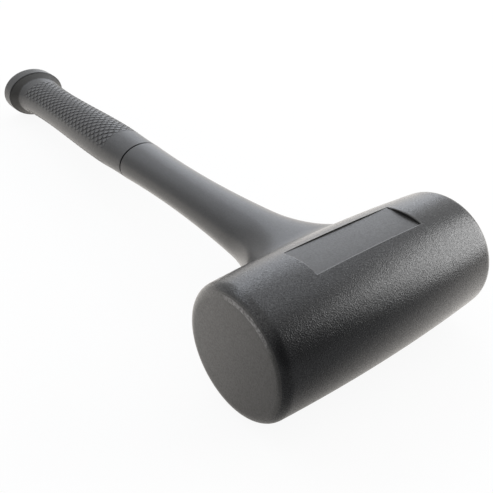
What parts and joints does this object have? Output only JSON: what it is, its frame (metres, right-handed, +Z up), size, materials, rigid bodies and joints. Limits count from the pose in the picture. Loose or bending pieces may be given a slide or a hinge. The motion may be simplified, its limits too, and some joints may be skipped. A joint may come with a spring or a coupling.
{
  "type": "dead blow hammer",
  "caption": "Dead blow hammer with a cast polyurethane barrel head and flared oval handle over a steel canister of loose shot, with a steel core and a checkered grip.",
  "frame": {"origin": "on the bench, under the middle of the lying hammer", "axes": "+Z up, +X from the pommel towards the head, Y along the head from strike face to strike face"},
  "size_m": [0.3536, 0.132, 0.063],
  "materials": {
    "cast_polyurethane": "matte moulded polyurethane with a fine pebble grain",
    "grip_polyurethane": "smooth matte moulded polyurethane with a checkered panel",
    "canister_steel": "drawn and pressed mild steel, as made",
    "core_steel": "zinc-plated steel",
    "plug_plastic": "natural polyethylene",
    "shot_steel": "rolled steel balls, lightly oiled"
  },
  "bodies": {
    "hammer": {"casing": "cast_polyurethane", "grip": "grip_polyurethane", "canister_tube": "canister_steel", "front_cap": "canister_steel", "back_cap": "canister_steel", "core_socket": "canister_steel", "core_tube": "core_steel", "cross_pin": "core_steel", "core_plug": "plug_plastic"},
    "charge": {"shot": "shot_steel"}
  },
  "joints": [
    {"name": "shot_slide", "type": "slide", "parent": "hammer", "child": "charge", "axis": [0, 1, 0], "range_m": [-0.009, 0.009]}
  ]
}
